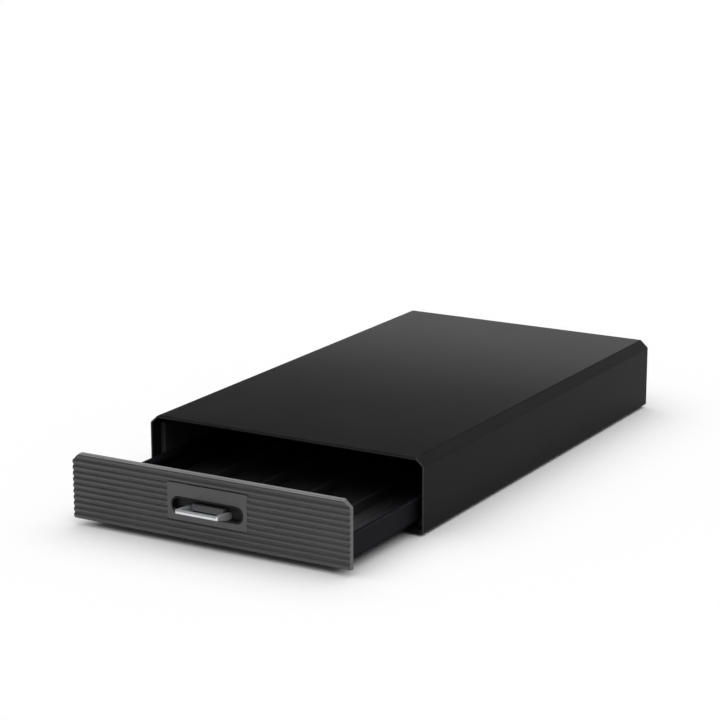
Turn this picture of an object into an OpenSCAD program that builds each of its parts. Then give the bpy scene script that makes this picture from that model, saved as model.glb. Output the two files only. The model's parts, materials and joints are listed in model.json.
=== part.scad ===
// Coffee pod drawer. A low casing of folded sheet steel, whose flat top carries a coffee machine,
// with a drawer for rows of pods that slides out of its front. The drawer is modelled part drawn
// out. Millimetres, X to the right, Y from the front to the back, Z up from the surface it stands on.

/* [Pods] */
// Diameter of a pod's rim
pod_d = 37; // [34:0.5:42]
// Free width that the rim has in its channel
pod_side_gap = 1.2; // [0.6:0.1:2]
// Free length between the rims of a row
pod_row_gap = 0.6; // [0.2:0.1:2]
// Free length at the end of a row
row_end_gap = 1.2; // [0.5:0.1:4]
// Rows of pods side by side
pod_columns = 5; // [3:1:6]
// Pods in each row
pod_rows = 10; // [7:1:12]

/* [Casing] */
// Height of the casing above its feet
casing_h = 55.5; // [50:0.5:80]
// Thickness of the sheet steel
sheet_t = 1.2; // [0.8:0.1:1.6]
// Inner radius of the folds in the sheet steel
fold_r = 0.8; // [0.5:0.1:1.2]
// Width of the sloping shoulders
shoulder_w = 6.4; // [4:0.1:9]
// Drop of the sloping shoulders
shoulder_h = 5.8; // [4:0.1:8]
// Depth of the folded front hems
hem_d = 8; // [5:0.5:10]
// Width of the flanges folded in along the bottom
flange_w = 12; // [9:0.5:16]
// Width of the flanges folded in at the back
rear_flange_w = 11; // [9:0.5:16]
// Distance that the rear panel sits inside the back edge
rear_inset = 1.8; // [1.7:0.1:4]
// How far the rubber feet hold the casing off the surface
foot_h = 1.5; // [1:0.1:6]
// Diameter of the rubber feet
foot_d = 14; // [10:0.5:18]
// Distance of the feet's centres from the casing's edges
foot_inset = 27; // [24:0.5:40]

/* [Guides] */
// Distance of the guides from the front edge
guide_setback = 11; // [9:0.5:16]
// Space between a guide and the casing's wall
guide_standoff = 3; // [2:0.1:6]
// Width of the runners
runner_w = 4.1; // [3.8:0.1:6]
// Length of the ramp at a runner's front end
ramp_l = 8; // [4:0.5:16]
// Drop of the ramp
ramp_h = 1; // [0.5:0.1:2]
// Thickness of the drawer stops
stop_t = 2; // [1.2:0.1:3]
// Length of the drawer stops' feet, welded under the top
stop_foot = 10; // [6:1:20]
// Width of the drawer stops
stop_w = 22; // [12:1:30]
// Distance of the drawer stops from the middle
stop_x = 82; // [70:1:86]
// Overlap of a drawer stop and the drawer's back
stop_catch = 1.4; // [0.8:0.1:2.5]
// Height of the rear bumpers
bumper_h = 4; // [2:0.1:6]
// Diameter of the rear bumpers
bumper_d = 10; // [7:0.5:12]
// Radius of the pegs that hold the feet and the bumpers
peg_r = 2.4; // [1.6:0.1:3]
// Number of stiffening beads pressed into the base plate
bead_count = 3; // [1:1:4]
// Width of a stiffening bead
bead_w = 14; // [8:0.5:20]
// Height of a stiffening bead
bead_h = 0.9; // [0.4:0.1:1]

/* [Drawer] */
// How far the drawer is drawn out here
draw_out = 99; // [0:1:290]
// Full travel of the drawer
travel = 300; // [150:1:310]
// Height of the side rails
side_h = 20.1; // [17:0.1:30]
// Thickness of the side rails' upper wall and shelf
side_t = 2.2; // [1.6:0.1:3]
// Thickness of the side rails' lower leg
leg_t = 2.5; // [2.2:0.1:4]
// Height of the step over the runner
step_h = 4.7; // [4.2:0.1:6]
// Thickness of the floor panel
bottom_t = 1.2; // [0.8:0.1:2]
// Height of the floor panel above the side rails' lower edge
bottom_lift = 0.6; // [0.4:0.1:1.2]
// Depth of the grooves that hold the floor panel
groove_d = 1; // [0.5:0.1:1.4]
// Thickness of the front wall and the back
wall_t = 2; // [1.8:0.1:3]
// Thickness of the pod rack's floor
rack_t = 1.5; // [1:0.1:2.5]
// Width of a divider between two rows at its foot
divider_t = 3.3; // [2.4:0.1:6]
// Width of a divider at its tip
divider_tip_t = 1.8; // [1:0.1:2.3]
// Height of the dividers
divider_h = 8; // [4:0.1:14]
// Height of the low ridges that the pods slide on
ridge_h = 0.5; // [0.3:0.1:1]
// Width of the low ridges
ridge_w = 1.2; // [0.8:0.1:2]
// Wall round the screw channels in the side rails
channel_wall = 1.1; // [0.8:0.1:1.4]
// Length of the clips that keep the drawer level
glide_l = 40; // [20:1:60]
// How far the clips reach down the back
glide_h = 6; // [4:0.5:10]

/* [Front] */
// Thickness of the drawer front over its reeds
front_t = 4.5; // [4.2:0.1:8]
// Number of reeds
reed_count = 11; // [8:1:14]
// Height of a reed
reed_h = 1.1; // [0.5:0.1:1.4]
// Width of the flat between two reeds
reed_flat = 0.7; // [0.3:0.1:1.2]
// Width of the plain field
plain_w = 65; // [62:0.5:90]
// Number of reeds that end at the plain field
plain_reeds = 6; // [5:1:7]
// Number of reeds below the plain field
reeds_below = 3; // [1:1:3]
// Number of hollow cells across the back of the front
cell_count = 8; // [4:1:12]
// Depth of the cells
cell_depth = 1.4; // [0.6:0.1:1.6]
// Thickness of the ribs between the cells
cell_rib = 1.6; // [1:0.1:3]
// Width of the solid border round the cells
cell_border = 3; // [2:0.1:6]

/* [Handle] */
// Width of the pocket
pocket_w = 56.5; // [46:0.5:58]
// Height of the pocket
pocket_h = 10.1; // [9:0.1:12]
// Corner radius of the pocket
pocket_r = 4.5; // [2:0.1:4.5]
// Depth of the pocket
pocket_depth = 4.6; // [4:0.1:6]
// Wall thickness of the pocket
pocket_wall = 1.2; // [1:0.1:1.5]
// Width of the rim that seats the pocket on the back of the front
pocket_rim = 2; // [1:0.1:3]
// Distance of the pocket below the middle of the plain field
pocket_drop = 2.4; // [1.6:0.1:5]
// Width of the island in the pocket
island_w = 26; // [16:0.5:28]
// Height of the island
island_h = 4.4; // [3:0.1:6]
// Distance of the island's face behind the plain field
island_set = 0.3; // [0.2:0.1:1]
// Width of the handle
handle_w = 34.8; // [33:0.1:38]
// How far the handle stands out of the front
handle_reach = 14; // [12:0.5:24]
// Height of the handle's bar
bar_h = 2.8; // [2.4:0.1:4.4]
// Thickness of the handle's bar
bar_t = 2.8; // [2.4:0.1:4]
// Thickness of the handle's legs
handle_leg_t = 3.2; // [3.2:0.1:4.4]
// Radius of the handle's front corners
handle_corner = 1.8; // [1.2:0.1:3]
// How much the top of the legs falls towards the pocket
leg_top_drop = 1.5; // [0:0.1:2]

/* [Clearances] */
// Side clearance between the drawer and its guides
side_gap = 0.6; // [0.3:0.1:1]
// Side clearance between a side rail's lower leg and the runner
runner_gap = 0.5; // [0.3:0.1:1]
// Clearance between a runner and the step that rides on it
ride_gap = 0.3; // [0.1:0.1:0.5]
// Clearance under the side rails
under_gap = 1.3; // [0.5:0.1:3]
// Clearance above and below the closed drawer front
front_gap = 1.1; // [0.5:0.1:2]
// Clearance beside the closed drawer front
front_side_gap = 0.5; // [0.3:0.1:1]
// Clearance between the drawer front's bevels and the casing's shoulders
bevel_gap = 2.1; // [0.5:0.1:3]
// Clearance between the drawer's back and the casing's top
back_gap = 2.8; // [2.2:0.1:4]
// Clearance between the tilt glides and the casing's top
glide_gap = 0.6; // [0.3:0.1:1]
// Clearance at the stops and the bumpers
stop_gap = 0.3; // [0.1:0.1:0.5]
// Clearance between sheet parts that lie side by side
fit_gap = 0.3; // [0.1:0.1:0.5]
// Clearance between the guides' tops and the folds of the shoulders
guide_top_gap = 2; // [0.5:0.1:4]
// Clearance of pieces that are set into one another
seat_gap = 0.1; // [0.05:0.05:0.2]
// Clearance between the pod rack and the side rails
rack_gap = 0.4; // [0.2:0.1:1]

/* [Screws] */
// Radius of the screws
screw_r = 1.3; // [1.1:0.1:1.4]
// Radius of the handle's screws
handle_screw_r = 1; // [0.8:0.1:1]
// Height of a countersunk head
csk_h = 1.2; // [0.8:0.1:1.2]
// Radius of a pan head
pan_r = 2.4; // [2:0.1:2.6]
// Height of a pan head
pan_h = 1.5; // [1:0.1:1.6]

/* [Hidden] */
$fn = 48;
eps = 1; // how far a cutting shape runs past the face that it cuts

// Places along X, from the middle outwards
channel_w = pod_d + pod_side_gap;
column_pitch = channel_w + divider_t;
rack_x = (pod_columns * channel_w + (pod_columns - 1) * divider_t) / 2;
leg_in = rack_x + rack_gap;
leg_out = leg_in + leg_t;
runner_in = leg_out + runner_gap;
guide_in = runner_in + runner_w;
guide_out = guide_in + sheet_t;
wall_in = guide_out + guide_standoff;
half_w = wall_in + sheet_t;
base_x = wall_in - fold_r - seat_gap;  // half width of the base plate
side_out = guide_in - side_gap;
side_in = side_out - side_t;
panel_x = side_out - fit_gap;          // half width of the front wall and the back
runner_x = (runner_in + guide_in) / 2;

// Places along Z
base_z = foot_h;
flange_top = base_z + sheet_t;         // top of the bottom flanges, which the base plate lies on
sill_z = flange_top + sheet_t;          // top of the base plate
guide_floor = sill_z + sheet_t;
rail_z = guide_floor + under_gap;
step_z = rail_z + step_h;
side_top = rail_z + side_h;
bottom_z = rail_z + bottom_lift;
rack_z = bottom_z + bottom_t;
pod_z = rack_z + rack_t;
top_z = base_z + casing_h;
roof_z = top_z - sheet_t;
lintel_z = roof_z - sheet_t;
front_z0 = sill_z + front_gap;
front_z1 = lintel_z - front_gap;
back_top = roof_z - back_gap;
guide_top = section_points(base_z, sheet_t, sheet_t, sheet_t)[2][1] - guide_top_gap;

// Places along Y, with the drawer drawn out; the origin is half way between handle and back edge
row_l = pod_rows * (pod_d + pod_row_gap) + row_end_gap;
drawer_l = front_t + wall_t + row_l + wall_t;
casing_d = drawer_l + stop_gap + bumper_h + sheet_t + rear_inset;
front_y = -(casing_d - draw_out - handle_reach) / 2;
rear_y = front_y + casing_d;
rear_panel_y = rear_y - rear_inset - sheet_t;
guide_y0 = front_y + guide_setback;
guide_y1 = rear_panel_y - sheet_t - fit_gap;
face_y = front_y - draw_out;
front_back_y = face_y + front_t;
tray_y0 = front_back_y + wall_t;
tray_y1 = tray_y0 + row_l;
back_y = tray_y1 + wall_t;
stop_y = tray_y1 - (travel - draw_out) - stop_gap;

// Reeds, plain field and pocket
front_h = front_z1 - front_z0;
reed_pitch = front_h / reed_count;
reed_chord = reed_pitch - reed_flat;
reed_r = (reed_chord * reed_chord / 4 + reed_h * reed_h) / (2 * reed_h);
plain_z0 = front_z0 + reeds_below * reed_pitch;
plain_h = plain_reeds * reed_pitch;
pocket_z = plain_z0 + plain_h / 2 - pocket_drop;
pocket_floor_y = face_y + pocket_depth;
pocket_back_y = pocket_floor_y + pocket_wall;

// Screws, bumpers and glides
csk_r = screw_r + csk_h;               // a 90 degree countersink
edge_w = 0.4;                          // metal left between a head and the edge of its wall
boss_r = screw_r + channel_wall;
boss_low = [side_in - boss_r / 2, step_z + side_t + boss_r * 0.6];
boss_high = [panel_x - csk_r - edge_w, side_top - csk_r - edge_w];
front_screw_x = [0.5, 0.85] * (leg_in - boss_r);
front_screw_z = rail_z + side_h / 2;
handle_foot = fit_gap - pocket_h / 2;  // lower end of the legs, from the pocket's middle
handle_screw_x = (handle_w - handle_leg_t) / 2;
handle_screw_z = pocket_z + (bar_h / 2 - leg_top_drop + handle_foot) / 2;
bumper_x = side_out * 0.55;
bumper_z = side_top + bumper_d / 2;
glide_x = side_out * 0.4;
glide_t = 1.2;                         // wall of the tilt glides
bead_inset = 40;                       // distance of the beads' ends from the base plate's edges

// ---- shapes that several pieces share

// Extrudes an outline drawn in X and Z from y0 to y1.
module along_y(y0, y1) {
    translate([0, y1, 0]) rotate([90, 0, 0]) linear_extrude(y1 - y0) children();
}

// Extrudes an outline drawn in Y and Z from x0 to x1.
module along_x(x0, x1) {
    translate([x0, 0, 0]) rotate([90, 0, 90]) linear_extrude(x1 - x0) children();
}

// A block between two corners.
module block(low, high) {
    translate(low) cube(high - low);
}

module mirrored_x() {
    children();
    mirror([1, 0, 0]) children();
}

// The corners of the casing's cross-section over z0, set in from the sides, the shoulders and the top.
function section_points(z0, in_side, in_shoulder, in_top) = let(
    slope = norm([shoulder_w, shoulder_h]),
    line = shoulder_h * (half_w - shoulder_w) + shoulder_w * top_z - in_shoulder * slope,
    x_side = half_w - in_side,
    z_top = top_z - in_top,
    x_top = (line - shoulder_w * z_top) / shoulder_h,
    z_side = (line - shoulder_h * x_side) / shoulder_w
) [[-x_side, z0], [x_side, z0], [x_side, z_side], [x_top, z_top], [-x_top, z_top], [-x_side, z_side]];

module casing_section(z0, in_side, in_shoulder, in_top) {
    polygon(section_points(z0, in_side, in_shoulder, in_top));
}

function unit(v) = v / norm(v);

// From the middle of the sheet to its left face, at a point of a path.
function mitre(path, i) = let(
    last = len(path) - 1,
    d1 = unit(path[max(i, 1)] - path[max(i, 1) - 1]),
    d2 = unit(path[min(i, last - 1) + 1] - path[min(i, last - 1)])
) [-d1[1] - d2[1], d1[0] + d2[0]] / (1 + d1 * d2) * sheet_t / 2;

// What lies between a corner and an arc that joins its sides, which leave it along u and v.
module corner_piece(corner, u, v, radius) {
    half = acos(u * v) / 2;
    over = 1.2; // how far the piece runs past the corner
    centre = corner + unit(u + v) * radius / sin(half);
    reach = radius / tan(half);
    ends = [corner + u * reach, corner, corner + v * reach];
    difference() {
        polygon(concat([centre], [for (p = ends) centre + (p - centre) * over]));
        translate(centre) circle(radius);
    }
}

// Sheet steel folded along a path in its middle, in section, with a round fold at each inner point.
module folded_sheet(path) {
    last = len(path) - 1;
    left = [for (i = [0:last]) path[i] + mitre(path, i)];
    right = [for (i = [last:-1:0]) path[i] - mitre(path, i)];
    difference() {
        union() {
            polygon(concat(left, right));
            for (i = [1:last - 1]) fold_corner(path, i, 1, fold_r);
        }
        for (i = [1:last - 1]) fold_corner(path, i, -1, fold_r + sheet_t);
    }
}

// A fold's corner piece, inside the fold with side 1 and outside it with side -1.
module fold_corner(path, i, side, radius) {
    u = unit(path[i - 1] - path[i]);
    v = unit(path[i + 1] - path[i]);
    turn = sign(u[1] * v[0] - u[0] * v[1]);
    corner_piece(path[i] + side * turn * mitre(path, i), u, v, radius);
}

// A rectangle round the origin with round corners.
module round_rect(w, h, r) {
    square([w - 2 * r, h], center = true);
    square([w, h - 2 * r], center = true);
    for (x = [-1, 1], z = [-1, 1]) translate([x * (w / 2 - r), z * (h / 2 - r)]) circle(r);
}

// A countersunk screw that points along +Z, its head's face at the origin.
module csk_screw(length) {
    cylinder(h = csk_h, r1 = csk_r, r2 = screw_r);
    translate([0, 0, csk_h]) cylinder(h = length - csk_h, r = screw_r);
}

// The countersunk hole for it, open at the head's side.
module csk_hole(length) {
    cylinder(h = csk_h, r1 = csk_r, r2 = screw_r);
    translate([0, 0, -eps]) cylinder(h = eps, r = csk_r);
    translate([0, 0, csk_h / 2]) cylinder(h = length, r = screw_r + seat_gap);
}

// A pan-head screw that points along +Z, the underside of its head at the origin.
module pan_screw(length, radius) {
    size = radius / screw_r;
    translate([0, 0, -size * pan_h]) cylinder(h = size * pan_h, r1 = size * pan_r * 0.8, r2 = size * pan_r);
    cylinder(h = length, r = radius);
}

// ---- where the fasteners go

base_screw_l = 3 * sheet_t + 4;
rear_screw_l = 2 * sheet_t + 1.2;
corner_screw_l = wall_t + 7;
front_screw_l = wall_t + 2.2;
handle_screw_l = pocket_wall + 5;
base_screw_count = 4;                  // on each side
base_screw_inset = 18;

module at_base_screws() {
    step = (guide_y1 - guide_y0 - 2 * base_screw_inset) / (base_screw_count - 1);
    for (x = [-runner_x, runner_x], i = [0:base_screw_count - 1])
        translate([x, guide_y0 + base_screw_inset + i * step, base_z]) children();
}

module at_rear_screws() {
    for (x = [-1, 1], z = [step_z + pan_r, roof_z - shoulder_h - pan_r - edge_w])
        translate([x * (wall_in - rear_flange_w + pan_r + edge_w), rear_panel_y + sheet_t, z])
            rotate([90, 0, 0]) children();
}

module at_corner_screws() {
    for (x = [-1, 1], p = [boss_low, boss_high]) {
        translate([x * p[0], front_back_y, p[1]]) rotate([-90, 0, 0]) children();
        translate([x * p[0], back_y, p[1]]) rotate([90, 0, 0]) children();
    }
}

module at_front_screws() {
    for (side = [-1, 1], x = front_screw_x)
        translate([side * x, tray_y0, front_screw_z]) rotate([90, 0, 0]) children();
}

module at_handle_screws() {
    for (x = [-1, 1])
        translate([x * handle_screw_x, pocket_back_y, handle_screw_z]) rotate([90, 0, 0]) children();
}

module at_feet() {
    for (x = [-1, 1], y = [front_y + foot_inset, rear_y - foot_inset])
        translate([x * (half_w - foot_inset), y, 0]) children();
}

module at_bumpers() {
    for (x = [-1, 1])
        translate([x * bumper_x, rear_panel_y, bumper_z]) rotate([90, 0, 0]) children();
}

// ---- casing

// The front hem: the sheet folded back on itself, with a round nose.
module hem(x, z0) {
    along_x(-x, x) {
        translate([front_y + sheet_t, z0]) square([hem_d - sheet_t, 2 * sheet_t]);
        translate([front_y + sheet_t, z0 + sheet_t]) circle(sheet_t);
    }
}

module casing_shell() color("#26272a") difference() {
    mid = sheet_t / 2;
    flange_x = wall_in - flange_w;
    p = section_points(base_z + mid, mid, mid, mid);
    union() {
        difference() {
            along_y(front_y, rear_y) folded_sheet(
                [[-flange_x, base_z + mid], p[0], p[5], p[4], p[3], p[2], p[1], [flange_x, base_z + mid]]);
            // clears the nose of the top hem
            block([shoulder_w - half_w, front_y - eps, lintel_z],
                  [half_w - shoulder_w, front_y + sheet_t, top_z + eps]);
            // the bottom flanges end behind the base plate's hem and at the rear panel
            for (y = [[front_y - eps, front_y + hem_d + fit_gap], [rear_panel_y, rear_y + eps]])
                block([-wall_in, y[0], base_z - eps], [wall_in, y[1], flange_top + fold_r]);
        }
        hem(half_w - shoulder_w, lintel_z);
        mirrored_x() block([wall_in - rear_flange_w, rear_panel_y - sheet_t, sill_z],
                           [half_w - mid, rear_panel_y, roof_z - shoulder_h]);
    }
    at_base_screws() csk_hole(base_screw_l);
    at_rear_screws() cylinder(h = rear_screw_l, r = screw_r + seat_gap);
}

// Stiffening beads: long ridges with round ends, made narrower for the hollow under them.
module beads(z0, z1, set_in) {
    y0 = front_y + bead_inset;
    y1 = rear_panel_y - bead_inset;
    r = bead_w / 2 - set_in;
    for (i = [1:bead_count]) translate([(2 * i / (bead_count + 1) - 1) * leg_in, 0, z0]) {
        block([-r, y0, 0], [r, y1, z1 - z0]);
        for (y = [y0, y1]) translate([0, y, 0]) cylinder(h = z1 - z0, r = r);
    }
}

module base_plate() color("#26272a") difference() {
    union() {
        block([-base_x, front_y + sheet_t, flange_top], [base_x, rear_panel_y - fit_gap, sill_z]);
        hem(base_x, base_z);
        beads(flange_top, sill_z + bead_h, 0);
    }
    beads(flange_top - eps, flange_top + bead_h, sheet_t);
    at_base_screws() cylinder(h = base_screw_l, r = screw_r + seat_gap);
    at_feet() cylinder(h = sill_z + eps, r = peg_r);
}

module rear_panel() color("#26272a") difference() {
    along_y(rear_panel_y, rear_panel_y + sheet_t)
        casing_section(base_z, sheet_t + fit_gap, sheet_t + fit_gap, sheet_t + fit_gap);
    at_rear_screws() translate([0, 0, -eps]) cylinder(h = rear_screw_l, r = screw_r + seat_gap);
    at_bumpers() translate([0, 0, -2 * sheet_t]) cylinder(h = 3 * sheet_t, r = peg_r);
}

// A guide wall: folded sheet with a foot under the runner, a top flange and a closed front end.
module right_guide() color("#2b2c2f") difference() {
    mid = sheet_t / 2;
    flange_x = wall_in - fit_gap;
    union() {
        along_y(guide_y0, guide_y1) folded_sheet([
            [runner_in - fit_gap, sill_z + mid], [guide_in + mid, sill_z + mid],
            [guide_in + mid, guide_top - mid], [flange_x, guide_top - mid]]);
        block([guide_in + mid, guide_y0, guide_floor], [flange_x, guide_y0 + sheet_t, guide_top - mid]);
    }
    at_base_screws() cylinder(h = base_screw_l, r = screw_r + seat_gap);
}

module left_guide() mirror([1, 0, 0]) right_guide();

// A runner, with a corner cut off to clear the guide's fold and a ramp at its front end.
module right_runner() color("#3a3b3e") difference() {
    top = step_z - ride_gap;
    intersection() {
        along_y(guide_y0, guide_y1) polygon([
            [runner_in, guide_floor], [guide_in - fold_r, guide_floor], [guide_in, guide_floor + fold_r],
            [guide_in, top], [runner_in, top]]);
        along_x(runner_in - eps, guide_in + eps) polygon([
            [guide_y0, guide_floor], [guide_y1, guide_floor], [guide_y1, top],
            [guide_y0 + ramp_l, top], [guide_y0, top - ramp_h]]);
    }
    at_base_screws() cylinder(h = base_screw_l, r = screw_r);
}

module left_runner() mirror([1, 0, 0]) right_runner();

module drawer_stops() color("#2b2c2f") for (x = [-1, 1])
    translate([x * stop_x, 0, 0]) along_x(-stop_w / 2, stop_w / 2) {
        translate([stop_y - stop_t, back_top - stop_catch])
            square([stop_t, roof_z - back_top + stop_catch]);
        translate([stop_y - stop_foot, roof_z - stop_t]) square([stop_foot, stop_t]);
    }

// A rubber button along +Z on a sheet, with a peg through the sheet and a barb behind it.
module push_in(d, h) {
    bevel = h / 3;
    barb_h = 1.2;
    cylinder(h = h - bevel, r = d / 2);
    translate([0, 0, h - bevel]) cylinder(h = bevel, r1 = d / 2, r2 = d / 2 - bevel);
    translate([0, 0, -sheet_t]) cylinder(h = sheet_t, r = peg_r);
    translate([0, 0, -sheet_t - barb_h]) cylinder(h = barb_h, r1 = peg_r - 0.4, r2 = peg_r + 0.5);
}

module rear_bumpers() color("#1c1c1d") at_bumpers() push_in(bumper_d, bumper_h);

module rubber_feet() color("#1c1c1d")
    at_feet() translate([0, 0, flange_top]) mirror([0, 0, 1]) push_in(foot_d, flange_top);

module base_screws() color("#8d8f92") at_base_screws() csk_screw(base_screw_l);

module rear_screws() color("#8d8f92") at_rear_screws() pan_screw(rear_screw_l, screw_r);

// ---- drawer

module drawer_front() color("#46474b") difference() {
    intersection() {
        union() {
            block([-half_w, face_y + reed_h, front_z0], [half_w, front_back_y, front_z1]);
            for (i = [0:reed_count - 1])
                translate([-half_w, face_y + reed_r, front_z0 + (i + 0.5) * reed_pitch])
                    rotate([0, 90, 0]) cylinder(h = 2 * half_w, r = reed_r);
            block([-plain_w / 2, face_y, plain_z0],
                  [plain_w / 2, front_back_y, plain_z0 + plain_h]);
        }
        along_y(face_y - eps, front_back_y)
            casing_section(front_z0, sheet_t + front_side_gap, sheet_t + bevel_gap,
                           2 * sheet_t + front_gap);
    }
    along_y(face_y - eps, front_back_y + eps) pocket_outline(pocket_wall + seat_gap);
    front_cells();
    at_front_screws() cylinder(h = front_screw_l, r = screw_r);
}

// The pocket's outline, grown by a margin.
module pocket_outline(margin) {
    translate([0, pocket_z])
        round_rect(pocket_w + 2 * margin, pocket_h + 2 * margin, pocket_r + margin);
}

// Shallow hollow cells in the back of the front, over the tray's front wall.
module front_cells() {
    pitch = 2 * leg_in / cell_count;
    z1 = front_z1 - cell_border;
    around_pocket = pocket_wall + pocket_rim + cell_rib;
    along_y(front_back_y - cell_depth, front_back_y + eps) difference() {
        for (i = [0:cell_count - 1]) translate([i * pitch - leg_in + cell_rib / 2, side_top + cell_rib])
            square([pitch - cell_rib, z1 - side_top - cell_rib]);
        translate([-pocket_w / 2 - around_pocket, 0])
            square([pocket_w + 2 * around_pocket, pocket_z + pocket_h / 2 + around_pocket]);
    }
}

module handle_pocket() color("#3d3e42") difference() {
    union() {
        difference() {
            union() {
                along_y(face_y, pocket_back_y) pocket_outline(pocket_wall);
                along_y(front_back_y, pocket_back_y) pocket_outline(pocket_wall + pocket_rim);
            }
            along_y(face_y - eps, pocket_floor_y) pocket_outline(0);
        }
        translate([0, 0, pocket_z]) along_y(face_y + island_set, pocket_floor_y + pocket_wall / 2)
            round_rect(island_w, island_h, 1);
    }
    at_handle_screws() translate([0, 0, -eps])
        cylinder(h = pocket_wall + 2 * eps, r = handle_screw_r + seat_gap);
}

// The handle: its side view extruded, with the space between the legs and the outer corners cut away.
module pull_handle() color("#d8dadc") difference() {
    inside = handle_w / 2 - handle_leg_t;
    bar_y0 = face_y - handle_reach;
    bar_y1 = bar_y0 + bar_t;
    along_x(-handle_w / 2, handle_w / 2) handle_side();
    translate([0, 0, pocket_z - pocket_h]) linear_extrude(2 * pocket_h) {
        difference() {
            translate([-inside, bar_y1]) square([2 * inside, pocket_floor_y + eps - bar_y1]);
            for (x = [-1, 1]) corner_piece([x * inside, bar_y1], [-x, 0], [0, 1], handle_corner / 2);
        }
        for (x = [-1, 1]) corner_piece([x * handle_w / 2, bar_y0], [-x, 0], [0, 1], handle_corner);
    }
    at_handle_screws() cylinder(h = handle_screw_l, r = handle_screw_r);
}

// The handle seen from the side: a round-nosed bar that widens into the legs.
module handle_side() {
    y0 = face_y - handle_reach;
    y1 = y0 + bar_t;
    top = bar_h / 2;
    translate([0, pocket_z]) difference() {
        polygon([[y0, top], [y1, top], [pocket_floor_y, top - leg_top_drop], [pocket_floor_y, handle_foot],
                 [face_y, handle_foot], [y1, -top], [y0, -top]]);
        for (z = [-1, 1]) corner_piece([y0, z * top], [1, 0], [0, -z], 0.4 * bar_h);
    }
}

module handle_screws() color("#8d8f92")
    at_handle_screws() pan_screw(handle_screw_l, handle_screw_r);

module front_screws() color("#8d8f92") at_front_screws() csk_screw(front_screw_l);

// The outline of the walls that close the tray's ends, stepped as the side rails are.
module tray_wall(top) {
    polygon([[-leg_out, rail_z], [leg_out, rail_z], [leg_out, step_z], [panel_x, step_z], [panel_x, top],
             [-panel_x, top], [-panel_x, step_z], [-leg_out, step_z]]);
}

module front_wall() color("#2f3034") difference() {
    along_y(front_back_y, tray_y0) tray_wall(side_top);
    along_y(front_back_y - eps, tray_y0 + eps) pocket_outline(pocket_wall + pocket_rim + fit_gap);
    at_front_screws() csk_hole(wall_t + eps);
    at_corner_screws() csk_hole(wall_t + eps);
}

module right_side() color("#303238") difference() {
    along_y(tray_y0, tray_y1) {
        difference() {
            polygon([[leg_out, rail_z], [leg_out, step_z], [side_out, step_z], [side_out, side_top],
                     [side_in, side_top], [side_in, step_z + side_t], [leg_in, step_z + side_t],
                     [leg_in, rail_z]]);
            translate([leg_in - eps, bottom_z]) square([eps + groove_d, bottom_t + seat_gap]);
        }
        translate(boss_low) circle(boss_r);
        translate(boss_high) circle(boss_r);
    }
    for (p = [boss_low, boss_high]) translate([p[0], tray_y0 - eps, p[1]])
        rotate([-90, 0, 0]) cylinder(h = row_l + 2 * eps, r = screw_r);
}

module left_side() mirror([1, 0, 0]) right_side();

module drawer_bottom() color("#2a2b2e")
    block([seat_gap - leg_in - groove_d, tray_y0, bottom_z],
          [leg_in + groove_d - seat_gap, tray_y1, rack_z]);

module drawer_back() color("#2f3034") difference() {
    along_y(tray_y1, back_y) tray_wall(back_top);
    at_corner_screws() csk_hole(wall_t + eps);
}

module corner_screws() color("#8d8f92") at_corner_screws() csk_screw(corner_screw_l);

// Clips that straddle the back's top edge.
module tilt_glides() color("#5a5b5e") for (x = [-1, 1]) translate([x * glide_x, 0, 0])
    along_x(-glide_l / 2, glide_l / 2) difference() {
        translate([tray_y1 - glide_t, back_top - glide_h])
            square([wall_t + 2 * glide_t, glide_h + back_gap - glide_gap]);
        translate([tray_y1, back_top - glide_h - eps]) square([wall_t, glide_h + eps]);
    }

// A liner with tapering dividers between the rows and two low ridges under each row.
module pod_rack() color("#2a2b2e") along_y(tray_y0 + fit_gap, tray_y1 - fit_gap) {
    tip = divider_tip_t / 2;
    translate([-rack_x, rack_z]) square([2 * rack_x, rack_t]);
    if (pod_columns > 1)
        for (i = [1:pod_columns - 1]) translate([(i - pod_columns / 2) * column_pitch, pod_z]) {
            polygon([[-divider_t / 2, 0], [divider_t / 2, 0],
                     [tip, divider_h - tip], [-tip, divider_h - tip]]);
            translate([0, divider_h - tip]) circle(tip);
        }
    for (i = [0:pod_columns - 1], side = [-1, 1])
        translate([(i - (pod_columns - 1) / 2) * column_pitch + side * pod_d / 4, pod_z])
            translate([-ridge_w / 2, 0]) square([ridge_w, ridge_h]);
}

casing_shell();
base_plate();
rear_panel();
left_guide();
right_guide();
left_runner();
right_runner();
drawer_stops();
rear_bumpers();
rubber_feet();
base_screws();
rear_screws();
drawer_front();
handle_pocket();
pull_handle();
handle_screws();
front_screws();
front_wall();
left_side();
right_side();
drawer_bottom();
drawer_back();
corner_screws();
tilt_glides();
pod_rack();
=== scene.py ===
"""Coffee pod drawer: the finish of every piece, a plain studio and the camera.

Lengths are in metres, in the part's own frame: X to the right, Y from the front to the back and
Z up from the surface that the feet stand on. Where a length is in millimetres, a comment says so.
"""
import json
import math

import bmesh
import bpy
from mathutils import Matrix, Vector
from mathutils.geometry import intersect_line_line_2d


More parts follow.
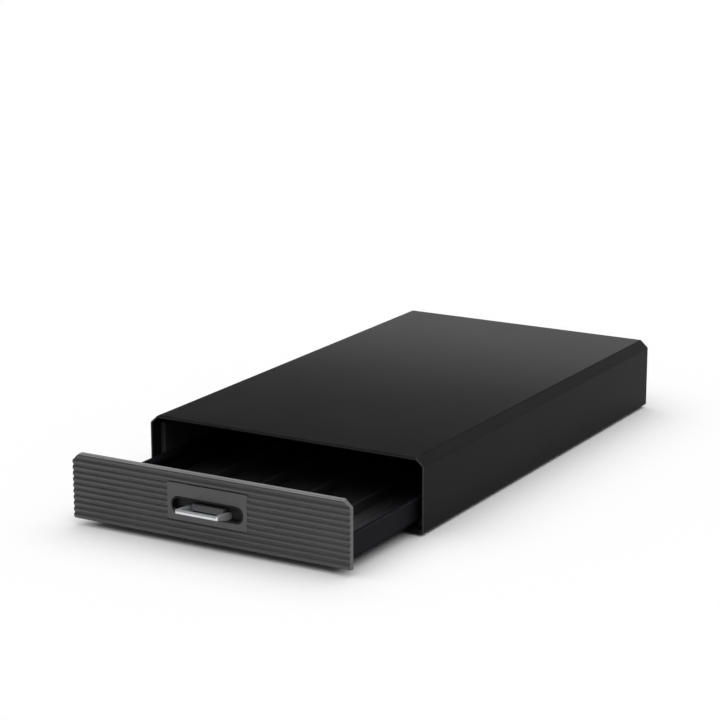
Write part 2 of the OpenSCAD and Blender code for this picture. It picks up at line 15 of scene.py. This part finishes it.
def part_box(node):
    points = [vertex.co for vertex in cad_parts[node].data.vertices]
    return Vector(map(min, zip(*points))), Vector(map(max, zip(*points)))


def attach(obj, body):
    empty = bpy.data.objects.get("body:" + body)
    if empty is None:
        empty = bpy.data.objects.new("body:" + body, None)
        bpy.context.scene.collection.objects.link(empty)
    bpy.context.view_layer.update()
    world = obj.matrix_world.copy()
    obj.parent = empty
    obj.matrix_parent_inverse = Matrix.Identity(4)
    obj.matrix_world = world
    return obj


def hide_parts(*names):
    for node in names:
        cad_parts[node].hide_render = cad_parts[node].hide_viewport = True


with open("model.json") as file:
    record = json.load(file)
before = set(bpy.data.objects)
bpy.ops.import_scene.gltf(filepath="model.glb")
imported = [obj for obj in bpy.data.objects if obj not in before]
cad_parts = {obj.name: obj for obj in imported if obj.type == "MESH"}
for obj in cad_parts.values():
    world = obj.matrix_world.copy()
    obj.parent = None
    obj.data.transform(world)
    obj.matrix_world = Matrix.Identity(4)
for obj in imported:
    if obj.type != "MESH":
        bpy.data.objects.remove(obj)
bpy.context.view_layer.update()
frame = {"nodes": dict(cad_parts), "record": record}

MM = 0.001
WHITE = (1.0, 1.0, 1.0, 1.0)
FRONTWARD = Vector((0, -1, 0))
BACKWARD = Vector((0, 1, 0))
UP = Vector((0, 0, 1))
DOWN = Vector((0, 0, -1))


def new_object(name, data):
    """An object that holds data, linked to the scene."""
    made = bpy.data.objects.new(name, data)
    bpy.context.scene.collection.objects.link(made)
    return made


# ---- shader node groups that several materials share


def new_group(name, inputs, outputs):
    """An empty node group: inputs as {name: default}, outputs as names, and each one a number."""
    group = bpy.data.node_groups.new(name, "ShaderNodeTree")
    for key, default in inputs.items():
        socket = group.interface.new_socket(key, in_out="INPUT", socket_type="NodeSocketFloat")
        socket.default_value = default
    for key in outputs:
        group.interface.new_socket(key, in_out="OUTPUT", socket_type="NodeSocketFloat")
    return group, group.nodes.new("NodeGroupInput"), group.nodes.new("NodeGroupOutput")


class Nodes:
    """Short ways to place and join the nodes of one tree."""

    def __init__(self, tree):
        self.tree = tree

    def join(self, source, target):
        """Links a socket to the target, or sets the target to a plain value."""
        if isinstance(source, bpy.types.NodeSocket):
            self.tree.links.new(source, target)
        else:
            target.default_value = source

    def add(self, kind, inputs=None, **settings):
        node = self.tree.nodes.new(kind)
        for key, value in settings.items():
            setattr(node, key, value)
        for key, value in (inputs or {}).items():
            self.join(value, node.inputs[key])
        return node

    def math(self, operation, a, b):
        node = self.add("ShaderNodeMath", operation=operation)
        self.join(a, node.inputs[0])
        self.join(b, node.inputs[1])
        return node.outputs[0]

    def place(self):
        return self.add("ShaderNodeTexCoord").outputs["Object"]

    def noise(self, vector, scale, detail, roughness):
        node = self.add("ShaderNodeTexNoise", {
            "Vector": vector, "Scale": scale, "Detail": detail, "Roughness": roughness})
        return node.outputs["Fac"]

    def stretch(self, vector, scale):
        node = self.add("ShaderNodeMapping", {"Vector": vector, "Scale": scale})
        return node.outputs["Vector"]

    def ramp(self, value, low, high, to_low=0.0, to_high=1.0):
        node = self.add("ShaderNodeMapRange", {
            "Value": value, "From Min": low, "From Max": high, "To Min": to_low, "To Max": to_high})
        return node.outputs["Result"]

    def scale(self, colour, factor):
        node = self.add("ShaderNodeVectorMath", operation="SCALE")
        self.join(colour[:3] if isinstance(colour, tuple) else colour, node.inputs[0])
        self.join(factor, node.inputs["Scale"])
        return node.outputs["Vector"]

    def blend(self, factor, a, b):
        node = self.add("ShaderNodeMix", data_type="RGBA")
        self.join(factor, node.inputs["Factor"])
        self.join(a, node.inputs["A"])
        self.join(b, node.inputs["B"])
        return node.outputs["Result"]


def make_grain_group():
    """Moulded or coated grain: a height for a bump, from a fine and a coarser layer."""
    coarser = 0.27  # the coarser layer's scale, as a share of the fine one's
    weight = 0.3    # and its height
    group, given, out = new_group("surface_grain", {"Size": 0.5}, ["Height"])
    n = Nodes(group)
    scale = n.math("DIVIDE", 1 / MM, given.outputs["Size"])
    fine = n.noise(n.place(), scale, detail=2.0, roughness=0.6)
    coarse = n.noise(n.place(), n.math("MULTIPLY", scale, coarser), detail=1.0, roughness=0.5)
    height = n.math("ADD", fine, n.math("MULTIPLY", coarse, weight))
    n.join(height, out.inputs["Height"])
    return group


def make_patina_group():
    """Faint cloudy differences of gloss and tone, as handled and wiped surfaces have."""
    middle = 0.5                # a noise's middle level
    along_y = (1.0, 0.35, 1.0)  # wiping leaves marks that are longer along Y,
    finer = 4.0                 # and finer than the clouds by this much
    group, given, out = new_group("patina", {"Size": 60.0, "Amount": 1.0}, ["Gloss", "Tone"])
    n = Nodes(group)
    amount = given.outputs["Amount"]
    scale = n.math("DIVIDE", 1 / MM, given.outputs["Size"])
    cloud = n.noise(n.place(), scale, detail=4.0, roughness=0.55)
    wiped = n.noise(n.stretch(n.place(), along_y), n.math("MULTIPLY", scale, finer),
                    detail=3.0, roughness=0.6)
    mean = n.math("MULTIPLY", n.math("ADD", cloud, wiped), 0.5)
    n.join(n.math("MULTIPLY", n.math("SUBTRACT", mean, middle), amount), out.inputs["Gloss"])
    n.join(n.math("MULTIPLY", n.math("SUBTRACT", cloud, middle), amount), out.inputs["Tone"])
    return group


def make_lines_group():
    """Fine lines along Y, as drawing, brushing or extruding leaves."""
    along_y = (1.0, 0.008, 1.0)
    group, given, out = new_group("drawn_lines", {"Pitch": 0.4}, ["Height"])
    n = Nodes(group)
    scale = n.math("DIVIDE", 1 / MM, given.outputs["Pitch"])
    lines = n.noise(n.stretch(n.place(), along_y), scale, detail=3.0, roughness=0.6)
    n.join(lines, out.inputs["Height"])
    return group


def make_rub_and_highlight_group():
    """Paler edges, partly rubbed paint and partly a painted highlight: the edge faces' own mark,
    broken up by a noise.
    """
    patches_per_metre = 90.0
    starts, full = 0.35, 0.7  # levels of the noise between which the rub comes in
    group, given, out = new_group("edge_rub_and_highlight", {"Amount": 0.5}, ["Mask"])
    n = Nodes(group)
    edge = n.add("ShaderNodeAttribute", attribute_name="edge").outputs["Fac"]
    cloud = n.noise(n.place(), patches_per_metre, detail=4.0, roughness=0.7)
    patches = n.ramp(cloud, starts, full)
    mask = n.math("MULTIPLY", n.math("MULTIPLY", edge, patches), given.outputs["Amount"])
    n.join(mask, out.inputs["Mask"])
    return group


GRAIN = make_grain_group()
PATINA = make_patina_group()
LINES = make_lines_group()
RUB_AND_HIGHLIGHT = make_rub_and_highlight_group()

# ---- materials

TONE_REACH = 0.25  # how far the patina's tone goes to either side of 0


class Finish:
    """One material: a Principled shader and the shared groups that feed it."""

    def __init__(self, name, colour, roughness, metallic=0.0, specular=0.5):
        self.material = bpy.data.materials.new(name)
        self.material.use_nodes = True
        self.n = Nodes(self.material.node_tree)
        self.shader = self.material.node_tree.nodes["Principled BSDF"]
        self.colour = (*colour, 1.0)
        self.roughness = roughness
        self.shader.inputs["Metallic"].default_value = metallic
        self.shader.inputs["Specular IOR Level"].default_value = specular
        self.material.diffuse_color = self.colour

    def group(self, tree, **inputs):
        node = self.n.add("ShaderNodeGroup", node_tree=tree)
        for key, value in inputs.items():
            node.inputs[key].default_value = value
        return node

    def dress(self, grain=None, lines=None, patina=None, rub_and_highlight=None, painted_light=None,
              tone=0.12, gloss=0.25):
        """Joins the layers: grain (size mm, height mm), lines (pitch mm, height mm), patina
        (size mm, amount), inlay (name of the faces' mark, colour, which paints light and shade on
        those faces) and rub (amount, colour of edges paler partly from rubbing and partly as a
        painted highlight). tone is the share by which the patina moves the colour at most, and
        gloss is how much of it goes to the roughness."""
        n = self.n
        colour = self.colour
        rough = self.roughness
        # Marked faces take a colour of painted light and shade: the highlights on the casing's
        # front fold and the front's top face, and the pocket's island.
        if painted_light:
            mark, painted_colour = painted_light
            marked = n.add("ShaderNodeAttribute", attribute_name=mark).outputs["Fac"]
            colour = n.blend(marked, colour, (*painted_colour, 1.0))
        if patina:
            size, amount = patina
            layer = self.group(PATINA, Size=size, Amount=amount)
            cloud = n.ramp(layer.outputs["Tone"], -TONE_REACH, TONE_REACH, 1 - tone, 1 + tone)
            colour = n.scale(colour, cloud)
            rough = n.math("ADD", rough, n.math("MULTIPLY", layer.outputs["Gloss"], gloss))
        # Paler edges: rubbed paint, and partly a painted highlight on the casing's and the front's
        # edges.
        if rub_and_highlight:
            amount, paler_edge_colour = rub_and_highlight
            mask = self.group(RUB_AND_HIGHLIGHT, Amount=amount).outputs["Mask"]
            colour = n.blend(mask, colour, (*paler_edge_colour, 1.0))
        n.join(colour, self.shader.inputs["Base Color"])
        n.join(rough, self.shader.inputs["Roughness"])
        normal = None
        for tree, settings, measure in ((GRAIN, grain, "Size"), (LINES, lines, "Pitch")):
            if settings:
                size, rise = settings
                height = self.group(tree, **{measure: size}).outputs["Height"]
                bump = n.add("ShaderNodeBump", {
                    "Height": height, "Distance": rise * MM, "Strength": 1.0})
                if normal is not None:
                    n.join(normal, bump.inputs["Normal"])
                normal = bump.outputs["Normal"]
        if normal is not None:
            n.join(normal, self.shader.inputs["Normal"])
        return self.material


def powder_coat():
    """Satin powder coat on the casing, with a shallow grain. Its edges are paler in patches, partly
    rubbed paint and partly a painted highlight.
    """
    finish = Finish("black_powder_coat", colour=(0.014, 0.014, 0.0145), roughness=0.22,
                    specular=0.02)
    # The front fold's marked faces take a paler grey: a painted highlight.
    return finish.dress(grain=(0.9, 0.008), patina=(70.0, 0.8), rub_and_highlight=(0.7, (0.14, 0.14, 0.145)),
                        painted_light=("hem", (0.065, 0.065, 0.068)), gloss=0.12)


def guide_paint():
    """Duller paint on the guides and the stops, paler than the casing's black as painted light, so
    that the guides' front ends show inside the dark casing.
    """
    finish = Finish("black_guide_paint", colour=(0.05, 0.05, 0.053), roughness=0.42)
    return finish.dress(grain=(0.8, 0.015), patina=(50.0, 0.8), rub_and_highlight=(0.6, (0.09, 0.09, 0.095)))


def front_plastic():
    """Moulded plastic of the reeded front, with a fine grain. Its top face is pale as a painted
    highlight, and its edges are paler in patches, partly rubbed and partly a painted highlight.
    """
    finish = Finish("anthracite_front", colour=(0.05, 0.05, 0.053), roughness=0.4, specular=0.8)
    return finish.dress(grain=(0.3, 0.012), patina=(45.0, 0.9), rub_and_highlight=(0.45, (0.3, 0.3, 0.31)),
                        painted_light=("ledge_highlight", (0.24, 0.24, 0.245)))


def pocket_plastic():
    """The front's plastic, much darker in the pocket as painted shade, and paler on its island."""
    finish = Finish("anthracite_pocket_painted_shade", colour=(0.01, 0.01, 0.011), roughness=0.45, specular=0.2)
    return finish.dress(grain=(0.3, 0.012), patina=(25.0, 0.8), rub_and_highlight=(0.25, (0.06, 0.06, 0.063)),
                        painted_light=("island", (0.11, 0.11, 0.115)))


def chrome():
    """Satin chrome, with hair-fine lines from front to back."""
    finish = Finish("satin_chrome", colour=(0.8, 0.81, 0.83), roughness=0.45, metallic=0.86)
    return finish.dress(lines=(0.25, 0.0006), patina=(14.0, 0.8), tone=0.04, gloss=0.2)


def rail_plastic():
    """Extruded plastic of the side rails, with faint lines along them."""
    finish = Finish("slate_rail", colour=(0.008, 0.008, 0.0105), roughness=0.5, specular=0.03)
    return finish.dress(grain=(0.4, 0.006), lines=(0.5, 0.006), patina=(60.0, 0.8),
                        rub_and_highlight=(0.4, (0.08, 0.085, 0.1)))


def tray_plastic():
    """Moulded plastic of the tray's front and back walls."""
    finish = Finish("black_tray", colour=(0.022, 0.022, 0.024), roughness=0.5, specular=0.3)
    return finish.dress(grain=(0.35, 0.014), patina=(50.0, 0.8), rub_and_highlight=(0.3, (0.07, 0.07, 0.075)))


def rack_plastic():
    """The rack's plastic, with a coarser grain than the walls'."""
    finish = Finish("grained_rack", colour=(0.032, 0.032, 0.034), roughness=0.48, specular=0.35)
    return finish.dress(grain=(0.7, 0.03), patina=(60.0, 1.0), rub_and_highlight=(0.5, (0.06, 0.06, 0.062)))


def tray_metal():
    """Painted sheet of the tray's floor."""
    finish = Finish("black_floor_panel", colour=(0.02, 0.02, 0.022), roughness=0.42)
    return finish.dress(grain=(0.6, 0.015), patina=(60.0, 0.8), rub_and_highlight=(0.3, (0.06, 0.06, 0.06)))


def runner_plastic():
    """Slippery plastic, with lines along the way that the drawer slides."""
    finish = Finish("slippery_runner", colour=(0.045, 0.045, 0.048), roughness=0.3)
    return finish.dress(lines=(0.35, 0.004), patina=(30.0, 1.0), rub_and_highlight=(0.5, (0.12, 0.12, 0.12)))


def rubber():
    """Dull rubber of the feet and the bumpers."""
    finish = Finish("black_rubber", colour=(0.014, 0.014, 0.014), roughness=0.75, specular=0.35)
    return finish.dress(grain=(0.25, 0.02), patina=(12.0, 1.0), tone=0.3)


def zinc_steel():
    """Zinc-plated steel of the screws."""
    finish = Finish("zinc_plated_steel", colour=(0.5, 0.51, 0.53), roughness=0.32, metallic=1.0)
    return finish.dress(grain=(0.12, 0.004), patina=(4.0, 1.0), rub_and_highlight=(0.4, (0.7, 0.7, 0.7)),
                        tone=0.15, gloss=0.3)


MATERIALS = {
    "casing_black": powder_coat(),
    "guide_metal": guide_paint(),
    "runner_plastic": runner_plastic(),
    "black_rubber": rubber(),
    "screw_steel": zinc_steel(),
    "front_plastic": front_plastic(),
    "pocket_plastic": pocket_plastic(),
    "handle_chrome": chrome(),
    "rail_plastic": rail_plastic(),
    "tray_plastic": tray_plastic(),
    "tray_metal": tray_metal(),
    "rack_plastic": rack_plastic(),
}
SLOT_OF = {row["node"]: row["material_slot"] for row in frame["record"]["subparts"]}
BODY_OF = {node: body for body, nodes in frame["record"]["behaviour"]["bodies"].items()
           for node in nodes}

# ---- the pieces

SEAM = 0.001 * MM           # points nearer to each other than this are one
FLAT = math.radians(0.5)    # faces that turn from each other by less than this are one
SHARP = math.radians(40.0)  # edges that turn by more than this are sharp
TIGHT = 0.21 * MM           # the longest edge to close up where rounding leaves a loop

# Node, name of its piece and radius of its edges in mm.
CASING_PIECES = (
    ("base_plate", "hemmed_base", 0.2),
    ("rear_panel", "back_cover", 0.2),
    ("left_guide", "left_guide_wall", 0.2),
    ("right_guide", "right_guide_wall", 0.2),
    ("left_runner", "left_slide_runner", 0.25),
    ("right_runner", "right_slide_runner", 0.25),
    ("drawer_stops", "welded_stops", 0.2),
    ("rear_bumpers", "soft_bumpers", 0.15),
    ("rubber_feet", "push_in_feet", 0.2),
)
DRAWER_PIECES = (
    ("front_wall", "tray_front_wall", 0.12),
    ("left_side", "left_rail", 0.27),
    ("right_side", "right_rail", 0.27),
    ("drawer_bottom", "tray_floor", 0.2),
    ("drawer_back", "tray_back_wall", 0.12),
    ("tilt_glides", "level_clips", 0.25),
    ("pod_rack", "channel_rack", 0.3),
)

HEAD_ROUNDING = 0.12  # radius of the screws' edges in mm
BLADE = 0.26          # thickness of a cross recess's blades, as a share of its width,
DEPTH = 0.3           # and its depth
MOUTH = (0.5, 0.5)    # half the cutter's width and half its blades' thickness where it is widest,
TIP = (0.28, 0.4)     # and at its tip, as shares of the full ones
SQUARE = ((-1, -1), (1, -1), (1, 1), (-1, 1))


def clean_mesh(node):
    """The CAD node's mesh as a bmesh, with its seams closed and its flat faces in one."""
    bm = bmesh.new()
    bm.from_mesh(frame["nodes"][node].data)
    bmesh.ops.remove_doubles(bm, verts=bm.verts, dist=SEAM)
    bmesh.ops.dissolve_limit(bm, angle_limit=FLAT, verts=bm.verts, edges=bm.edges)
    return bm


def round_edges(bm, radius, segments):
    """Rounds the sharp outer edges, radius in mm, and marks the new faces as edge."""
    edges = [edge for edge in bm.edges
             if len(edge.link_faces) == 2 and edge.calc_face_angle_signed() > SHARP]
    made = bmesh.ops.bevel(bm, geom=edges, offset=radius * MM, segments=segments, profile=0.5,
                           affect="EDGES", clamp_overlap=False, loop_slide=True)
    mark_faces(bm, "edge", made["faces"])
    untangle(bm)


def untangle(bm):
    """Closes the tiny loops that rounding leaves in a face's outline at very tight corners."""
    joined = {}
    for face in bm.faces:
        if len(face.verts) > 4:  # a smaller face has no loops
            flat = face.normal.to_track_quat("Z", "Y").inverted()
            ring = face.verts[:]
            for i in range(len(ring)):
                four = [ring[(i + k) % len(ring)] for k in range(4)]
                first, second = four[1:3]
                tiny = (first.co - second.co).length < TIGHT
                if tiny and intersect_line_line_2d(*[(flat @ vert.co).xy for vert in four]):
                    if first not in joined and second not in joined:
                        first.co = (first.co + second.co) / 2
                        joined[second] = first
    bmesh.ops.weld_verts(bm, targetmap=joined)


def mark_faces(bm, name, faces):
    """Sets a loop attribute of the faces to 1, for the materials to read."""
    mark = bm.loops.layers.float.get(name) or bm.loops.layers.float.new(name)
    for face in faces:
        for loop in face.loops:
            loop[mark] = 1.0


def end_faces(bm, node, way, skin, facing):
    """The faces that lie within skin, in mm, of the node's end on one side, and look that way
    with a cosine over facing."""
    end = max(corner.dot(way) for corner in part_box(node))
    return [face for face in bm.faces if face.normal.dot(way) > facing
            and face.calc_center_median().dot(way) > end - skin * MM]


def apply_modifier(piece, modifier):
    """Makes what a modifier does part of the mesh."""
    bpy.context.view_layer.objects.active = piece
    bpy.ops.object.modifier_apply(modifier=modifier.name)


def weigh_normals(piece):
    """Keeps large faces flat to the light where rounded edges join them."""
    modifier = piece.modifiers.new("weights", "WEIGHTED_NORMAL")
    modifier.keep_sharp = True
    apply_modifier(piece, modifier)


def finish_piece(bm, name, node):
    """Makes the object that stands for a CAD node, with its material, smooth where it is round."""
    mesh = bpy.data.meshes.new(name)
    bm.to_mesh(mesh)
    bm.free()
    mesh.shade_smooth()
    mesh.set_sharp_from_angle(angle=SHARP)
    mesh.materials.append(MATERIALS[SLOT_OF[node]])
    piece = new_object(name, mesh)
    weigh_normals(piece)
    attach(piece, BODY_OF[node])
    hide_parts(node)
    return piece


def rounded_piece(node, name, radius, segments=2):
    """A CAD node's shape with its edges rounded as the real piece's are."""
    bm = clean_mesh(node)
    round_edges(bm, radius, segments)
    finish_piece(bm, name, node)


def folded_casing():
    """The folded shell, with a painted highlight: a paler grey on the faces of its front fold."""
    bm = clean_mesh("casing_shell")
    round_edges(bm, radius=0.22, segments=3)
    mark_faces(bm, "hem", end_faces(bm, "casing_shell", FRONTWARD, skin=0.1, facing=0.7))
    finish_piece(bm, "folded_casing", "casing_shell")


def reeded_front():
    """The moulded front, with a painted highlight: pale along its top face."""
    bm = clean_mesh("drawer_front")
    round_edges(bm, radius=0.22, segments=3)
    mark_faces(bm, "ledge_highlight", end_faces(bm, "drawer_front", UP, skin=1.0, facing=0.5))
    finish_piece(bm, "reeded_front", "drawer_front")


def pull_pocket():
    """The cup, dark as painted shade, with its island in a lighter grey."""
    bm = clean_mesh("handle_pocket")
    round_edges(bm, radius=0.2, segments=2)
    pull_low, pull_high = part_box("pull_handle")
    rim_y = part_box("handle_pocket")[0].y + 0.05 * MM
    floor_y = pull_high.y - 0.5 * MM
    lower_wall_z = pull_low.z + 0.6 * MM
    upper_wall_z = pull_high.z + 1.0 * MM
    island = []
    for face in bm.faces:  # the island's are between the legs, off the cup's rim, floor and walls
        x, y, z = face.calc_center_median()
        between_legs = pull_low.x < x < pull_high.x
        if between_legs and rim_y < y < floor_y and lower_wall_z < z < upper_wall_z:
            island.append(face)
    mark_faces(bm, "island", island)
    finish_piece(bm, "pull_pocket", "handle_pocket")


def loose_parts(bm):
    """The vertices of each part that hangs together, in the mesh's own order."""
    seen = set()
    parts = []
    for start in bm.verts:
        if start not in seen:
            seen.add(start)
            part = [start]
            for vert in part:
                for edge in vert.link_edges:
                    other = edge.other_vert(vert)
                    if other not in seen:
                        seen.add(other)
                        part.append(other)
            parts.append(part)
    return parts


def head_places(node, way):
    """The middle of each screw's head face, for heads that face that way."""
    bm = clean_mesh(node)
    places = []
    for screw in loose_parts(bm):
        reach = max(vert.co.dot(way) for vert in screw)
        low = Vector([min(vert.co[i] for vert in screw) for i in range(3)])
        high = Vector([max(vert.co[i] for vert in screw) for i in range(3)])
        middle = (low + high) / 2
        places.append(middle + way * (reach - middle.dot(way)))
    bm.free()
    return places


def cross_cutter(bm, place, way, width):
    """Adds a tapering cross to bm, as a driver's tip, half in a head's face and half out of it."""
    blade = BLADE * width
    depth = DEPTH * width
    turn = way.to_track_quat("Z", "Y").to_matrix().to_4x4()
    for angle in (0, math.pi / 2):
        at_head = Matrix.Translation(place) @ turn @ Matrix.Rotation(angle, 4, "Z")
        rings = []
        for (half_width, half_blade), height in ((MOUTH, depth), (TIP, -depth)):
            corners = [(x * width * half_width, y * blade * half_blade, height) for x, y in SQUARE]
            rings.append([bm.verts.new(at_head @ Vector(corner)) for corner in corners])
        top, low = rings
        bm.faces.new(top)
        bm.faces.new(low[::-1])
        for i in range(4):
            j = (i + 1) % 4
            bm.faces.new((low[i], low[j], top[j], top[i]))


def cut_recesses(piece, places, way, width):
    """Cuts a cross recess, width in mm, into the heads at these places."""
    cutter_bm = bmesh.new()
    for place in places:
        cross_cutter(cutter_bm, place, way, width * MM)
    cutter_mesh = bpy.data.meshes.new("driver")
    cutter_bm.to_mesh(cutter_mesh)
    cutter_bm.free()
    cutter = new_object("driver", cutter_mesh)
    modifier = piece.modifiers.new("recess", "BOOLEAN")
    modifier.operation = "DIFFERENCE"
    modifier.solver = "EXACT"
    modifier.use_self = True
    modifier.object = cutter
    apply_modifier(piece, modifier)
    bpy.data.objects.remove(cutter)
    bpy.data.meshes.remove(cutter_mesh)


def screws(node, name, ways, width):
    """Screws with rounded heads and a cross recess, width in mm. Each of the ways that heads face
    comes with a test that picks the places of its heads."""
    bm = clean_mesh(node)
    round_edges(bm, HEAD_ROUNDING, segments=2)
    piece = finish_piece(bm, name, node)
    for way, picked in ways:
        cut_recesses(piece, [p for p in head_places(node, way) if picked(p)], way, width)


def every_place(place):
    return True


def before_rack(place):
    return place.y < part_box("pod_rack")[0].y


def behind_rack(place):
    return place.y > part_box("pod_rack")[1].y


folded_casing()
for node, name, radius in CASING_PIECES:
    rounded_piece(node, name, radius)
reeded_front()
pull_pocket()
rounded_piece("pull_handle", "satin_pull", 0.35, segments=3)
for node, name, radius in DRAWER_PIECES:
    rounded_piece(node, name, radius)
screws("base_screws", "casing_screws", [(DOWN, every_place)], width=3.0)
screws("rear_screws", "cover_screws", [(BACKWARD, every_place)], width=3.0)
screws("handle_screws", "pull_screws", [(BACKWARD, every_place)], width=1.9)
screws("front_screws", "panel_screws", [(BACKWARD, every_place)], width=3.0)
screws("corner_screws", "rail_screws", [(FRONTWARD, before_rack), (BACKWARD, behind_rack)],
       width=3.0)

# ---- the studio

SKY_LEVEL = 0.22       # how brightly the sky alone lights a white card that lies flat
KEY_LEVEL = 0.78       # and the key light alone
KEY_TOWARD = Vector((-0.04, 0.0, 1.0)).normalized()  # the way to it
KEY_SPREAD = math.radians(110)                       # and how wide it looks from the object
FLOOR_BOUNCE = 0.62    # how much of its light the floor gives back
FLOOR_HALF = 30.0      # half the floor's side
CEILING_LEVEL = 0.02   # how bright the ceiling looks in what is glossy
CEILING_HEIGHT = 0.207
CEILING_LEFT, CEILING_RIGHT = -3.0, 0.12
CEILING_FRONT, CEILING_BACK = -3.0, 0.61
CAMERA_PLACE = (0.85381, -1.51379, 0.52782)
CAMERA_AZIMUTH = math.radians(29.895)    # how far round to the right it stands
CAMERA_ELEVATION = math.radians(14.387)  # how far down it looks
LENS, SENSOR = 117.42, 36.0              # in mm


def seen_as_background(n):
    """1 for rays of the camera, of gloss and through glass; 0 for light that falls on things."""
    path = n.add("ShaderNodeLightPath")
    seen = n.math("MAXIMUM", path.outputs["Is Camera Ray"], path.outputs["Is Glossy Ray"])
    return n.math("MAXIMUM", seen, path.outputs["Is Transmission Ray"])


def empty_material(name):
    """A material without nodes, and the short ways to add them."""
    material = bpy.data.materials.new(name)
    material.use_nodes = True
    material.node_tree.nodes.clear()
    return material, Nodes(material.node_tree)


def level_card(name, left, right, front, back, height, material):
    """A level rectangle of one material."""
    mesh = bpy.data.meshes.new(name)
    mesh.from_pydata([(left, front, height), (right, front, height),
                      (right, back, height), (left, back, height)], [], [(0, 1, 2, 3)])
    mesh.materials.append(material)
    return new_object(name, mesh)


def studio_floor():
    """A pale floor that looks white and keeps the object's shadow."""
    material, n = empty_material("pale_floor")
    grey = (FLOOR_BOUNCE, FLOOR_BOUNCE, FLOOR_BOUNCE, 1.0)
    paint = n.add("ShaderNodeBsdfDiffuse", {"Color": n.blend(seen_as_background(n), grey, WHITE)})
    n.add("ShaderNodeOutputMaterial", {"Surface": paint.outputs[0]})
    floor = level_card("floor", -FLOOR_HALF, FLOOR_HALF, -FLOOR_HALF, FLOOR_HALF, 0.0, material)


def studio_world():
    """Even light all round, seen as white."""
    world = bpy.data.worlds.new("studio")
    bpy.context.scene.world = world
    world.use_nodes = True
    n = Nodes(world.node_tree)
    background = world.node_tree.nodes["Background"]
    n.join(WHITE, background.inputs["Color"])
    strength = n.ramp(seen_as_background(n), 0.0, 1.0, SKY_LEVEL, 1.0)
    n.join(strength, background.inputs["Strength"])


def studio_ceiling():
    """A dark ceiling that only gloss shows, so that what faces up isn't veiled with white. It ends
    a little to the right of the object, whose right shoulder mirrors the bright wall there."""
    material, n = empty_material("dark_ceiling")
    grey = (CEILING_LEVEL, CEILING_LEVEL, CEILING_LEVEL, 1.0)
    dark = n.add("ShaderNodeEmission", {"Color": grey})
    n.add("ShaderNodeOutputMaterial", {"Surface": dark.outputs[0]})
    ceiling = level_card("ceiling", CEILING_LEFT, CEILING_RIGHT, CEILING_FRONT, CEILING_BACK,
                         CEILING_HEIGHT, material)
    for kind in ("camera", "diffuse", "transmission", "volume_scatter", "shadow"):
        setattr(ceiling, f"visible_{kind}", False)


def key_light():
    """A very large soft light above, a very little to the left."""
    lamp = bpy.data.lights.new("key", "SUN")
    lamp.angle = KEY_SPREAD
    lamp.energy = KEY_LEVEL * math.pi / KEY_TOWARD.z
    holder = new_object("key", lamp)
    holder.rotation_euler = KEY_TOWARD.to_track_quat("Z", "Y").to_euler()


def camera():
    """Looks at the front from the right and above, far off with a long lens."""
    view = bpy.data.cameras.new("camera")
    view.lens = LENS
    view.sensor_width = SENSOR
    holder = new_object("camera", view)
    holder.location = CAMERA_PLACE
    holder.rotation_euler = (math.pi / 2 - CAMERA_ELEVATION, 0.0, CAMERA_AZIMUTH)
    bpy.context.scene.camera = holder


studio_floor()
studio_world()
studio_ceiling()
key_light()
camera()
bpy.context.scene.view_settings.view_transform = "Standard"
